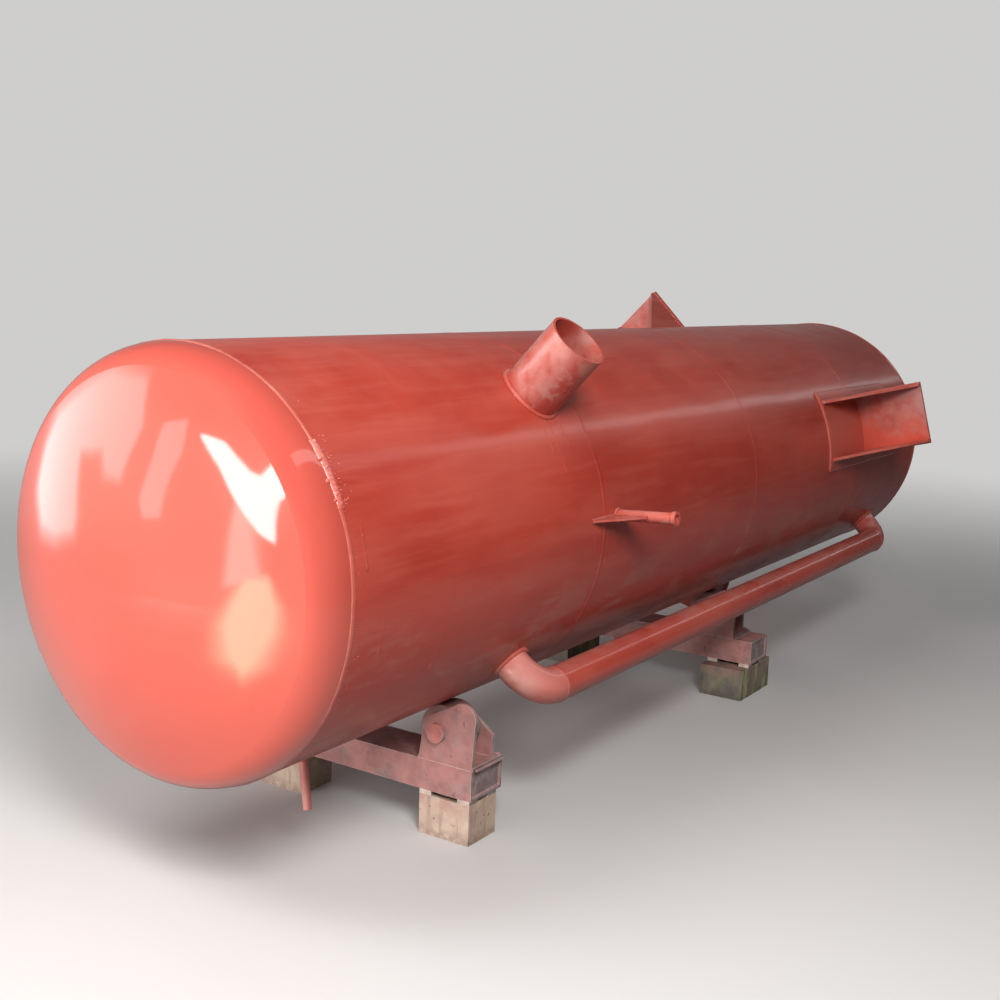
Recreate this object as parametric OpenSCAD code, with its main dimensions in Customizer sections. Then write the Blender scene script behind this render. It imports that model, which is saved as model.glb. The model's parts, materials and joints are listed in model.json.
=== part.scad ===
// Pressure tank lying on two roller stands.
// Millimetres, +Z up, the floor at Z = 0, the tank's axis along +Y.
// The origin is on the floor under the middle of the whole assembly.

/* [Shell] */
// Outside diameter of the shell
shell_od = 1200; // [1000:10:1400]
// Plate thickness of the shell
shell_t = 10; // [6:1:16]
// Length of each of the first three rolled plate courses
course_len = 1250; // [1100:10:1400]
// Length of the last course
last_course_len = 900; // [860:10:1400]
// Height of the tank's axis over the floor
axis_h = 950; // [945:5:1100]

/* [Dished ends] */
// Inside radius of the crown, as drawn on the outer face
crown_r = 1200; // [1000:10:1500]
// Knuckle radius on the outer face
knuckle_r = 110; // [80:5:160]
// Straight flange beside the seam
flange_len = 6; // [4:1:60]
// Plate thickness of the dished ends
head_t = 10; // [6:1:16]

/* [Large nozzle] */
// Outside diameter of the large nozzle
nozzle_od = 194; // [150:1:240]
// Wall of the large nozzle
nozzle_t = 8; // [5:1:12]
// Distance from the large nozzle to the first plate seam
nozzle_to_seam = 170; // [140:5:210]
// Angle of the large nozzle from the top
nozzle_angle = 43; // [35:1:50]
// How far the large nozzle stands out of the shell
nozzle_reach = 235; // [150:5:300]

/* [Side stub] */
// Outside diameter of the side stub
stub_od = 38; // [26:1:60]
// Wall of the side stub
stub_t = 5; // [3:0.5:8]
// Distance of the side stub past the first plate seam
stub_past_seam = 85; // [50:5:250]
// Angle of the side stub from the top
stub_angle = 86; // [80:1:92]
// How far the side stub stands out of the shell
stub_reach = 214; // [120:2:240]
// Outside diameter of the collar at its end
collar_od = 47; // [40:1:70]
// Length of the collar
collar_len = 14; // [8:1:30]
// Length of the stub's gusset along the shell
stub_gusset_len = 150; // [60:5:180]
// Reach of the stub's gusset along the stub
stub_gusset_reach = 120; // [60:5:160]
// Thickness of the stub's gusset
stub_gusset_t = 6; // [4:1:10]

/* [Header pipe] */
// Outside diameter of the header pipe
header_od = 114.3; // [100:0.1:140]
// Wall of the header pipe
header_t = 6; // [4:0.5:9]
// Angle of the header pipe from the top
header_angle = 130.8; // [125:0.2:133]
// Distance from the shell's face to the header's centre line
header_offset = 126; // [120:1:190]
// Bend radius of the header's elbows
header_bend = 114; // [90:1:119]
// Distance from the near leg to the first plate seam
header_near_to_seam = 305; // [250:5:330]
// Distance from the far leg to the far end seam
header_far_inset = 328; // [250:1:650]

/* [Drain] */
// Outside diameter of the drain pipe
drain_od = 27; // [20:1:34]
// Wall of the drain pipe
drain_t = 3; // [2:0.5:5]
// Distance of the drain from the near seam
drain_y = 400; // [300:5:500]
// Angle of the drain from the top
drain_angle = 172.3; // [165:0.1:180]
// How far the drain stands out of the shell
drain_reach = 195; // [120:5:260]
// Outside diameter of the drain's socket
socket_od = 45; // [40:1:60]
// Length of the drain's socket
socket_len = 40; // [25:1:60]

/* [Support lugs] */
// Angles of the three lugs from the top
lug_first_angle = 74.65; // [70:0.05:78]
// Distance of the seat plates from the far end seam
lug_inset = 870; // [750:10:1050]
// Length of the gussets along the shell
lug_len = 430; // [300:10:460]
// How far the seat plates stand out of the shell
lug_reach = 315; // [200:5:318]
// Width of the seat plates
lug_w = 290; // [240:5:320]
// Thickness of the seat plates
seat_t = 16; // [10:1:25]
// Thickness of the gussets
gusset_t = 12; // [8:1:16]
// How far the gussets sit inside the edge of the seat plate
gusset_inset = 8; // [4:1:20]
// Height of the gusset's nose where it meets the pad
gusset_nose = 14; // [8:1:30]
// Straight lip of the gusset beside the seat plate
gusset_lip = 18; // [10:1:30]
// Thickness of the wear pads
pad_t = 10; // [6:1:12]
// Arc of the shell that a wear pad covers, in degrees
pad_arc = 34; // [32:1:38]
// Length of a wear pad
pad_len = 930; // [560:10:960]
// How far the pad runs past the gusset's nose
pad_lead = 8; // [2:1:20]

/* [Rollers] */
// Radius of the steel rollers
wheel_r = 80; // [70:1:90]
// Angle of the rollers from the bottom of the shell
wheel_angle = 27; // [25:0.5:30]
// Width of the roller's tread
tread_w = 90; // [60:2:100]
// Length of the roller's hub
hub_len = 108; // [104:2:120]
// Radius of the roller's hub
hub_r = 30; // [24:1:40]
// Radius of the roller's pin
pin_r = 15; // [10:1:20]
// Radius of the pin's head
pin_head_r = 31; // [22:1:36]
// Thickness of the pin's head
pin_head_t = 18; // [8:1:24]
// How far the pin stands out of the far cheek
pin_tail = 16; // [10:1:25]

/* [Roller brackets] */
// Height of the pin over the underside of the bracket
pin_h = 98; // [94:1:110]
// Thickness of the cheek plates
cheek_t = 12; // [8:1:16]
// Thickness of the bracket's base plate
bracket_t = 10; // [6:1:12]
// Gap between the hub and each cheek
hub_gap = 3; // [1:0.5:5]
// How far the cheek leans out at its inner foot, and in at its outer foot
foot_spread = 10; // [2:1:20]
// How far the cheek's straight edges lie inside the rounds they run into
blend = 2; // [1:0.5:4]
// Ledge of the base plate beside the cheeks' feet
ledge = 4; // [2:1:8]
// Radius of the cheek around the pin
cheek_r = 60; // [50:1:62]
// Radius of the cheek's outer lobe
lobe_r = 50; // [40:1:55]
// Distance of the lobe's centre from the pin, outwards
lobe_x = 91; // [80:1:100]
// Height of the lobe's centre over the pin
lobe_z = 58; // [40:1:60]
// Distance of the back cheek's outer edge from the pin
back_edge_x = 121; // [100:1:140]
// Height of the corner at the top of that edge, below the pin
back_corner_drop = 16; // [0:1:50]

/* [Cross beams] */
// Height of the box beam
beam_h = 100; // [80:5:105]
// Width of the box beam
beam_w = 170; // [160:5:200]
// Wall of the box beam
beam_t = 9; // [6:1:14]
// Thickness of the plates let into the beam's ends
beam_cap_t = 8; // [5:1:12]
// How far those plates lie inside the beam's ends
beam_cap_inset = 6; // [2:1:15]
// Half length of the near beam
near_beam_half = 440; // [430:5:560]
// Half length of the far beam
far_beam_half = 530; // [500:5:600]
// Distance from the near beam's front face to the first plate seam
near_stand_to_seam = 480; // [460:5:550]
// Distance of the far beam's front face past the second plate seam
far_stand_past_seam = 235; // [100:5:300]

/* [Pedestals] */
// Width of a pedestal
pedestal_w = 190; // [150:5:240]
// Depth of a near pedestal
near_pedestal_d = 150; // [140:5:200]
// Depth of a far pedestal
far_pedestal_d = 300; // [200:5:340]
// Wall of the pedestals
pedestal_t = 8; // [5:1:12]
// Distance from the near beam's end to its pedestal
near_pedestal_inset = 5; // [0:1:20]
// Distance from the far beam's end to its pedestal
far_pedestal_inset = 8; // [0:1:20]
// Side of a packing plate
packing_w = 45; // [30:1:60]
// Thickness of the packing between pedestal and beam
packing_t = 15; // [8:1:20]

/* [Fits] */
// Gap between curved pieces that are welded or rest together
seat_gap = 0.3; // [0.1:0.1:0.5]
// Radial clearance of the pins in the rollers and cheeks
pin_clear = 0.08; // [0.02:0.02:0.1]
// How far pipes run into the shell
pipe_inset = 28; // [22:1:40]

/* [Hidden] */
$fn = 96;
far = 4000;
shell_or = shell_od / 2;
shell_ir = shell_or - shell_t;
shell_len = 3 * course_len + last_course_len;

nozzle_y = course_len - nozzle_to_seam;
stub_y = course_len + stub_past_seam;
header_near_y = course_len - header_near_to_seam;
header_far_y = shell_len - header_far_inset;
lug_y = shell_len - lug_inset;
near_stand_y = course_len - near_stand_to_seam;
far_stand_y = 2 * course_len + far_stand_past_seam;

knuckle_x = shell_or - knuckle_r;
crown_drop = sqrt(pow(crown_r - knuckle_r, 2) - pow(knuckle_x, 2));
crown_c = flange_len - crown_drop;

pad_r = shell_or + seat_gap;
pad_top = pad_r + pad_t;
lug_out = shell_or + lug_reach;
lug_angles = [lug_first_angle, lug_first_angle + 120, lug_first_angle + 240];
gusset_w = lug_w / 2 - gusset_inset;
gusset_y = lug_y - lug_len;

header_r = shell_or + header_offset;

wheel_c = shell_or + wheel_r + seat_gap;
wheel_x = wheel_c * sin(wheel_angle);
wheel_z = axis_h - wheel_c * cos(wheel_angle);
cheek_gap = hub_len + 2 * hub_gap;
bracket_d = cheek_gap + 2 * cheek_t;
bracket_z = wheel_z - pin_h;
beam_z = bracket_z - beam_h;
pedestal_h = beam_z - packing_t;
near_pedestal_x = near_beam_half - near_pedestal_inset - pedestal_w / 2;
far_pedestal_x = far_beam_half - far_pedestal_inset - pedestal_w / 2;
far_pedestal_y = far_stand_y + beam_w / 2 - far_pedestal_d / 2;

lug_ends = [for (a = lug_angles, s = [-1, 1]) sin(a) * lug_out + s * cos(a) * lug_w / 2];
all_ends = concat(lug_ends, [shell_or, -shell_or, far_beam_half, -far_beam_half]);
mid_x = (max(all_ends) + min(all_ends)) / 2;

paint = [0.72, 0.20, 0.15];
paint_light = [0.80, 0.28, 0.22];
paint_pink = [0.70, 0.38, 0.35];
steel_grey = [0.48, 0.45, 0.44];
old_cream = [0.76, 0.64, 0.52];

// From the near seam on the tank's axis, with Y along the axis, to the part's own frame
module on_axis() {
    translate([-mid_x, -shell_len / 2, axis_h]) children();
}

// The same place on the floor under the axis
module on_floor() {
    translate([-mid_x, -shell_len / 2, 0]) children();
}

// A piece drawn with +Z outwards from the axis and +Y along it, turned to an angle from the top
module at_angle(angle, y) {
    on_axis() translate([0, y, 0]) rotate([0, angle, 0]) children();
}

// A cylinder along +Y
module along_y(r, len) {
    rotate([-90, 0, 0]) cylinder(r = r, h = len);
}

// A round hole through the shell's wall
module wall_hole(r, angle, y) {
    translate([0, y, 0]) rotate([0, angle, 0]) translate([0, 0, shell_ir / 2]) cylinder(r = r, h = shell_or);
}

// Every hole that a pipe passes through
module wall_holes() {
    wall_hole(nozzle_od / 2 + seat_gap, nozzle_angle, nozzle_y);
    wall_hole(stub_od / 2 + seat_gap, stub_angle, stub_y);
    wall_hole(header_od / 2 + seat_gap, header_angle, header_near_y);
    wall_hole(header_od / 2 + seat_gap, header_angle, header_far_y);
    wall_hole(drain_od / 2 + seat_gap, drain_angle, drain_y);
}

// One rolled plate course of the shell, counted from the near seam
module shell_course(index) {
    start = index * course_len;
    len = index < 3 ? course_len : last_course_len;
    color(paint) on_axis() difference() {
        translate([0, start, 0]) along_y(shell_or, len);
        translate([0, start - 1, 0]) along_y(shell_ir, len + 2);
        wall_holes();
    }
}

// Half outline of a dished end, taken in by t from the outer face
module head_half(t) {
    square([shell_or - t, flange_len]);
    translate([knuckle_x, flange_len]) circle(r = knuckle_r - t);
    polygon([[0, 0], [knuckle_x, 0], [knuckle_x, flange_len], [0, flange_len + crown_r - crown_drop - t]]);
    intersection() {
        translate([0, crown_c]) circle(r = crown_r - t);
        polygon([[0, crown_c], [2 * knuckle_x, crown_c + 2 * crown_drop], [0, crown_c + 2 * crown_drop]]);
    }
}

// A dished end with its seam at Z = 0 and its crown towards +Z
module dished_end() {
    rotate_extrude() intersection() {
        difference() {
            head_half(0);
            head_half(head_t);
        }
        square([shell_or, shell_or]);
    }
}

module near_head() {
    color(paint_light) on_axis() rotate([90, 0, 0]) dished_end();
}

module far_head() {
    color(paint) on_axis() translate([0, shell_len, 0]) rotate([-90, 0, 0]) dished_end();
}

// A straight pipe stub from inside the shell's wall outwards
module stub_pipe(od, t, reach) {
    translate([0, 0, shell_or - pipe_inset]) difference() {
        cylinder(r = od / 2, h = pipe_inset + reach);
        translate([0, 0, -1]) cylinder(r = od / 2 - t, h = pipe_inset + reach + 2);
    }
}

module large_nozzle() {
    color(paint_light) at_angle(nozzle_angle, nozzle_y) stub_pipe(nozzle_od, nozzle_t, nozzle_reach);
}

module side_stub() {
    color(paint_light) at_angle(stub_angle, stub_y) {
        stub_pipe(stub_od, stub_t, stub_reach);
        translate([0, 0, shell_or + stub_reach - collar_len]) difference() {
            cylinder(r = collar_od / 2, h = collar_len);
            translate([0, 0, -1]) cylinder(r = stub_od / 2 - stub_t, h = collar_len + 2);
        }
    }
}

module side_stub_gusset() {
    root = -stub_od / 2 - seat_gap;
    color(paint_light) at_angle(stub_angle, stub_y) difference() {
        translate([stub_gusset_t / 2, 0, 0]) rotate([0, -90, 0]) linear_extrude(stub_gusset_t) polygon([
            [shell_or - shell_t, root],
            [shell_or + stub_gusset_reach, root],
            [shell_or + stub_gusset_reach, root - stub_gusset_t],
            [shell_or + stub_gusset_t, root - stub_gusset_len],
            [shell_or - shell_t, root - stub_gusset_len]
        ]);
        translate([0, -far / 2, 0]) along_y(pad_r, far);
    }
}

// A leg out of the shell and a quarter bend that ends along +Y
module header_elbow() {
    leg = header_offset - header_bend;
    stub_pipe(header_od, header_t, leg);
    translate([0, header_bend, shell_or + leg]) rotate([0, -90, 0]) rotate([0, 0, -90])
        rotate_extrude(angle = 90) translate([header_bend, 0]) difference() {
            circle(r = header_od / 2);
            circle(r = header_od / 2 - header_t);
        }
}

module header_near_elbow() {
    color(paint_light) at_angle(header_angle, header_near_y) header_elbow();
}

module header_far_elbow() {
    color(paint) at_angle(header_angle, header_far_y) mirror([0, 1, 0]) header_elbow();
}

module header_pipe() {
    start = header_near_y + header_bend;
    len = header_far_y - header_bend - start;
    color(paint) at_angle(header_angle, start) translate([0, 0, header_r]) difference() {
        along_y(header_od / 2, len);
        translate([0, -1, 0]) along_y(header_od / 2 - header_t, len + 2);
    }
}

module drain_socket() {
    color(paint_light) at_angle(drain_angle, drain_y) difference() {
        cylinder(r = socket_od / 2, h = shell_or + socket_len);
        translate([0, 0, -1]) cylinder(r = drain_od / 2 + seat_gap, h = shell_or + socket_len + 2);
        translate([0, -far / 2, 0]) along_y(pad_r, far);
    }
}

module drain_pipe() {
    color(paint_light) at_angle(drain_angle, drain_y) stub_pipe(drain_od, drain_t, drain_reach);
}

// A rolled wear pad on the shell under a lug
module lug_pad(angle) {
    color(paint) at_angle(angle - pad_arc / 2, gusset_y - pad_lead) rotate([-90, -90, 0])
        rotate_extrude(angle = pad_arc) translate([pad_r, 0]) square([pad_t, pad_len]);
}

// The two gussets of a lug, whose outer edges slope from the nose to the seat plate
module lug_gussets(angle) {
    color(paint_light) at_angle(angle, 0) difference() {
        for (side = [-1, 1])
            translate([side * (gusset_w - gusset_t / 2) + gusset_t / 2, 0, 0]) rotate([0, -90, 0])
                linear_extrude(gusset_t) polygon([
                    [shell_or - shell_t - lug_w / 5, gusset_y],
                    [pad_top + gusset_nose - lug_w / 20, gusset_y],
                    [lug_out, lug_y - gusset_lip],
                    [lug_out, lug_y],
                    [shell_or - shell_t - lug_w / 5, lug_y]
                ]);
        translate([0, -far / 2, 0]) along_y(pad_top + seat_gap, 3 * far);
    }
}

// The seat plate of a lug, square to the tank's axis
module lug_seat(angle) {
    color(paint_light) at_angle(angle, lug_y) difference() {
        translate([-lug_w / 2, 0, shell_ir - lug_w / 5]) cube([lug_w, seat_t, lug_out - shell_ir + lug_w / 5]);
        translate([0, -far / 2, 0]) along_y(pad_top + seat_gap, far);
    }
}

// The box beam across a stand, with a plate let into each end
module cross_beam(half) {
    cap_at = half - beam_cap_inset - beam_cap_t / 2;
    cap_edge = beam_t + seat_gap;
    translate([-half, 0, 0]) difference() {
        cube([2 * half, beam_w, beam_h]);
        translate([-1, beam_t, beam_t]) cube([2 * half + 2, beam_w - 2 * beam_t, beam_h - 2 * beam_t]);
    }
    for (side = [-1, 1])
        translate([side * cap_at - beam_cap_t / 2, cap_edge, cap_edge])
            cube([beam_cap_t, beam_w - 2 * cap_edge, beam_h - 2 * cap_edge]);
}

module near_beam() {
    color(paint_pink) on_floor() translate([0, near_stand_y, beam_z]) cross_beam(near_beam_half);
}

module far_beam() {
    color(paint_pink) on_floor() translate([0, far_stand_y, beam_z]) cross_beam(far_beam_half);
}

// A box pedestal with a closed top and an open foot
module pedestal(depth) {
    translate([-pedestal_w / 2, 0, 0]) difference() {
        cube([pedestal_w, depth, pedestal_h]);
        translate([pedestal_t, pedestal_t, -1])
            cube([pedestal_w - 2 * pedestal_t, depth - 2 * pedestal_t, pedestal_h - pedestal_t + 1]);
    }
}

module near_pedestal(side) {
    color(old_cream) on_floor() translate([side * near_pedestal_x, near_stand_y, 0]) pedestal(near_pedestal_d);
}

module far_pedestal(side) {
    color(old_cream) on_floor() translate([side * far_pedestal_x, far_pedestal_y, 0]) pedestal(far_pedestal_d);
}

// Four packing plates on a pedestal, one at each corner of what the beam covers
module packing(x, y, depth) {
    for (side = [-1, 1], dx = [-1, 1], dy = [0, 1])
        translate([
            side * x + dx * (pedestal_w - packing_w) / 2 - packing_w / 2,
            y + dy * (depth - packing_w),
            pedestal_h
        ]) cube([packing_w, packing_w, packing_t]);
}

module near_packing() {
    color(steel_grey) on_floor() packing(near_pedestal_x, near_stand_y, min(near_pedestal_d, beam_w));
}

module far_packing() {
    color(steel_grey) on_floor() packing(far_pedestal_x, far_stand_y, min(far_pedestal_d, beam_w));
}

// The two ends of the straight edge that touches two circles on their left
function outer_tangent(a, ra, b, rb) =
    let (
        d = b - a,
        len = norm(d),
        u = d / len,
        n = [-u[1], u[0]],
        k = (ra - rb) / len,
        m = k * u + sqrt(1 - k * k) * n
    ) [a + ra * m, b + rb * m];

// Outline of a front cheek plate about the pin, with its lobe on the outer side
module cheek_outline() {
    pin_at = [0, 0];
    lobe_at = [lobe_x, lobe_z];
    top = outer_tangent(pin_at, cheek_r - blend, lobe_at, lobe_r - blend);
    foot = -pin_h + bracket_t / 2;
    circle(r = cheek_r);
    translate(lobe_at) circle(r = lobe_r);
    polygon([
        [-cheek_r - foot_spread, foot], [lobe_x + lobe_r - foot_spread, foot],
        [lobe_x + lobe_r - blend, lobe_z], lobe_at, top[1], top[0], pin_at, [-cheek_r + blend, 0]
    ]);
}

// Outline of a back cheek plate about the pin, which slopes down to its outer edge
module back_outline() {
    corner = [back_edge_x, -back_corner_drop];
    top = outer_tangent([0, 0], cheek_r - blend, corner, 0);
    foot = -pin_h + bracket_t / 2;
    circle(r = cheek_r);
    polygon([
        [-cheek_r - foot_spread, foot], [back_edge_x, foot], corner, top[0], [0, 0], [-cheek_r + blend, 0]
    ]);
}

// A roller bracket about its pin: base plate and two cheeks, front face at Y = 0
module bracket() {
    difference() {
        union() {
            translate([-cheek_r - foot_spread - ledge, 0, -pin_h])
                cube([cheek_r + lobe_x + lobe_r + 2 * ledge, beam_w, bracket_t]);
            translate([0, cheek_t, 0]) rotate([90, 0, 0]) linear_extrude(cheek_t) cheek_outline();
            translate([0, bracket_d, 0]) rotate([90, 0, 0]) linear_extrude(cheek_t) back_outline();
        }
        translate([0, -1, 0]) along_y(pin_r + pin_clear, bracket_d + 2);
    }
}

// A roller with its hub, about its pin
module roller() {
    tread_y = (bracket_d - tread_w) / 2;
    hub_y = (bracket_d - hub_len) / 2;
    difference() {
        union() {
            translate([0, tread_y, 0]) along_y(wheel_r, tread_w);
            translate([0, hub_y, 0]) along_y(hub_r, hub_len);
        }
        translate([0, hub_y - 1, 0]) along_y(pin_r + pin_clear, hub_len + 2);
    }
}

// A roller pin with its head on the front cheek
module pin() {
    translate([0, -pin_head_t, 0]) along_y(pin_head_r, pin_head_t);
    translate([0, -1, 0]) along_y(pin_r, bracket_d + pin_tail + 1);
}

// A piece drawn about its pin, at the roller on one side of a stand
module at_roller(side, y) {
    on_floor() translate([side * wheel_x, y, wheel_z]) mirror([side < 0 ? 1 : 0, 0, 0]) children();
}

module stand_bracket(side, y) {
    color(paint_pink) at_roller(side, y) bracket();
}

module stand_roller(side, y) {
    color(steel_grey) at_roller(side, y) roller();
}

module stand_pin(side, y) {
    color(paint_pink) at_roller(side, y) pin();
}

shell_course(0);  // shell_course_1
shell_course(1);  // shell_course_2
shell_course(2);  // shell_course_3
shell_course(3);  // shell_course_4
near_head();
far_head();
large_nozzle();
side_stub();
side_stub_gusset();
header_near_elbow();
header_pipe();
header_far_elbow();
drain_socket();
drain_pipe();
lug_pad(lug_angles[0]);  // right_lug_pad
lug_gussets(lug_angles[0]);  // right_lug_gussets
lug_seat(lug_angles[0]);  // right_lug_seat
lug_pad(lug_angles[1]);  // under_lug_pad
lug_gussets(lug_angles[1]);  // under_lug_gussets
lug_seat(lug_angles[1]);  // under_lug_seat
lug_pad(lug_angles[2]);  // left_lug_pad
lug_gussets(lug_angles[2]);  // left_lug_gussets
lug_seat(lug_angles[2]);  // left_lug_seat
near_beam();
near_pedestal(1);  // near_right_pedestal
near_pedestal(-1);  // near_left_pedestal
near_packing();
stand_bracket(1, near_stand_y);  // near_right_bracket
stand_bracket(-1, near_stand_y);  // near_left_bracket
stand_roller(1, near_stand_y);  // near_right_roller
stand_roller(-1, near_stand_y);  // near_left_roller
stand_pin(1, near_stand_y);  // near_right_pin
stand_pin(-1, near_stand_y);  // near_left_pin
far_beam();
far_pedestal(1);  // far_right_pedestal
far_pedestal(-1);  // far_left_pedestal
far_packing();
stand_bracket(1, far_stand_y);  // far_right_bracket
stand_bracket(-1, far_stand_y);  // far_left_bracket
stand_roller(1, far_stand_y);  // far_right_roller
stand_roller(-1, far_stand_y);  // far_left_roller
stand_pin(1, far_stand_y);  // far_right_pin
stand_pin(-1, far_stand_y);  // far_left_pin
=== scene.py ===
"""Looks of the pressure tank on its two roller stands: primer, weld beads, dirt, lights and camera."""
import json
import math

import bmesh
import bpy
import numpy as np
from mathutils import Matrix, Vector


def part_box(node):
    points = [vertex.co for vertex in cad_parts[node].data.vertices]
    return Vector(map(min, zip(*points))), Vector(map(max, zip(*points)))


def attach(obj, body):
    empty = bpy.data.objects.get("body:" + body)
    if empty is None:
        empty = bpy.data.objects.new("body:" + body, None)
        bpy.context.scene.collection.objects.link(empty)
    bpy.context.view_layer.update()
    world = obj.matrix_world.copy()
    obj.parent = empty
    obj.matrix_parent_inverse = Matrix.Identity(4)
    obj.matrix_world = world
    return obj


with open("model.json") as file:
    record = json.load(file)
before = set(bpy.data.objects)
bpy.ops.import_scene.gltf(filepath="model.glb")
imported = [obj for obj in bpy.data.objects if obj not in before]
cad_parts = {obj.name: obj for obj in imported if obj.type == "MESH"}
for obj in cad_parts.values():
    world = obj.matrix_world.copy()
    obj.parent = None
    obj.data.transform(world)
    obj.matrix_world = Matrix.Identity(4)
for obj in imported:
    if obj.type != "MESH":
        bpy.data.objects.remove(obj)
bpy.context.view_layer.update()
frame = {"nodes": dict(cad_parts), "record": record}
MM = 0.001


# Sizes, read from the frame

COURSES = sorted(n for n in frame["nodes"] if n.startswith("shell_course_"))
SHELL_LO, SHELL_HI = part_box(COURSES[1])
AXIS_X = (SHELL_LO.x + SHELL_HI.x) / 2
AXIS_Z = (SHELL_LO.z + SHELL_HI.z) / 2
SHELL_R = (SHELL_HI.x - SHELL_LO.x) / 2
SEAMS = [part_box(n)[0].y for n in COURSES] + [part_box(COURSES[-1])[1].y]
TANK_MIDDLE = Vector((AXIS_X, 0, AXIS_Z))
ALONG = Vector((0, 1, 0))

# Radius of the round crown of both heads, and how far its centre is from the middle of the tank
CROWN_R = 1.2
CROWN_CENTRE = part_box("far_head")[1].y - CROWN_R

MOUNTS = {m["name"]: m for m in frame["record"]["mounts"]}
SLOT_OF = {s["node"]: s["material_slot"] for s in frame["record"]["subparts"]}
LUGS = ("right", "under", "left")


def angle_of(point):
    """Angle from the top of the shell, towards +X, of a point beside the tank's axis."""
    return math.atan2(point[0] - AXIS_X, point[2] - AXIS_Z)


def outward(angle):
    """Direction away from the tank's axis at an angle."""
    return Vector((math.sin(angle), 0, math.cos(angle)))


def around(angle):
    """Direction along the shell's girth at an angle, towards larger angles."""
    return Vector((math.cos(angle), 0, -math.sin(angle)))


def on_axis(y):
    return Vector((AXIS_X, y, AXIS_Z))


def mount_pipe(name):
    """Angle and y of a radial pipe, from its bore mount."""
    place = MOUNTS[f"{name}_bore"]["pos_m"]
    return angle_of(Vector(place)), place[1]


def lug_angle(side):
    return angle_of(Vector(MOUNTS[f"{side}_lug_seat_face"]["pos_m"]))


def half_depth(node):
    """Half of a node's size along the tank, which is the radius of a radial pipe."""
    lo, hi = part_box(node)
    return (hi.y - lo.y) / 2


def local_values(node, origin, direction, step=0.5 * MM):
    """The different places along one direction at which a CAD node has corners, lowest first."""
    places = sorted((v.co - origin).dot(direction) for v in frame["nodes"][node].data.vertices)
    found = [places[0]]
    for p in places:
        if p - found[-1] > step:
            found.append(p)
    return found


# The side stub's outer radius is its bore's and its wall, because its box also holds the collar
STUB_WALL = 5 * MM
STUB_R = MOUNTS["side_stub_bore"]["dims"]["r_mm"] * MM + STUB_WALL
HEADER_LO, HEADER_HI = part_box("header_pipe")
HEADER_R = (HEADER_HI.x - HEADER_LO.x) / 2
HEADER_MIDDLE = (HEADER_LO + HEADER_HI) / 2
HEADER_ANGLE = angle_of(HEADER_MIDDLE)
HEADER_LEGS = [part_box("header_near_elbow")[0].y + HEADER_R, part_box("header_far_elbow")[1].y - HEADER_R]


# Node trees

class Nodes:
    """Short calls that add nodes to one tree."""

    def __init__(self, tree):
        self.tree = tree

    def new(self, kind):
        return self.tree.nodes.new("ShaderNode" + kind)

    def put(self, socket, source):
        """Links a source to a socket, or writes a plain value there."""
        if isinstance(source, bpy.types.NodeSocket):
            self.tree.links.new(source, socket)
        else:
            socket.default_value = source

    def math(self, operation, a, b=0.0, clamp=False):
        node = self.new("Math")
        node.operation = operation
        node.use_clamp = clamp
        self.put(node.inputs[0], a)
        self.put(node.inputs[1], b)
        return node.outputs[0]

    def times(self, first, *others):
        for other in others:
            first = self.math("MULTIPLY", first, other)
        return first

    def plus(self, a, b, clamp=False):
        return self.math("ADD", a, b, clamp)

    def vector(self, operation, a, b=(0, 0, 0)):
        node = self.new("VectorMath")
        node.operation = operation
        self.put(node.inputs[0], a)
        self.put(node.inputs[1], b)
        return node.outputs["Value" if operation in ("DOT_PRODUCT", "LENGTH") else "Vector"]

    def axis(self, vector, name):
        """One part, X, Y or Z, of a vector."""
        split = self.new("SeparateXYZ")
        self.put(split.inputs[0], vector)
        return split.outputs[name]

    def span(self, value, low, high):
        """Maps low..high to 0..1, smoothly and clamped."""
        node = self.new("MapRange")
        node.interpolation_type = "SMOOTHSTEP"
        self.put(node.inputs["Value"], value)
        node.inputs["From Min"].default_value = low
        node.inputs["From Max"].default_value = high
        return node.outputs["Result"]

    def mix(self, factor, a, b):
        """Colour a where the factor is 0, colour b where it is 1."""
        node = self.new("Mix")
        node.data_type = "RGBA"
        self.put(node.inputs["Factor"], factor)
        for socket, source in ((node.inputs["A"], a), (node.inputs["B"], b)):
            self.put(socket, (*source, 1) if isinstance(source, tuple) else source)
        return node.outputs["Result"]

    def mix_shaders(self, factor, a, b):
        """Shader a where the factor is 0, shader b where it is 1."""
        node = self.new("MixShader")
        for socket, source in zip(node.inputs, (factor, a, b)):
            self.put(socket, source)
        return node.outputs[0]

    def see_through(self):
        return self.new("BsdfTransparent").outputs[0]

    def surface(self, shader):
        self.put(self.tree.nodes["Material Output"].inputs["Surface"], shader)


def new_material(name):
    material = bpy.data.materials.new(name)
    material.use_nodes = True
    return material


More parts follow.
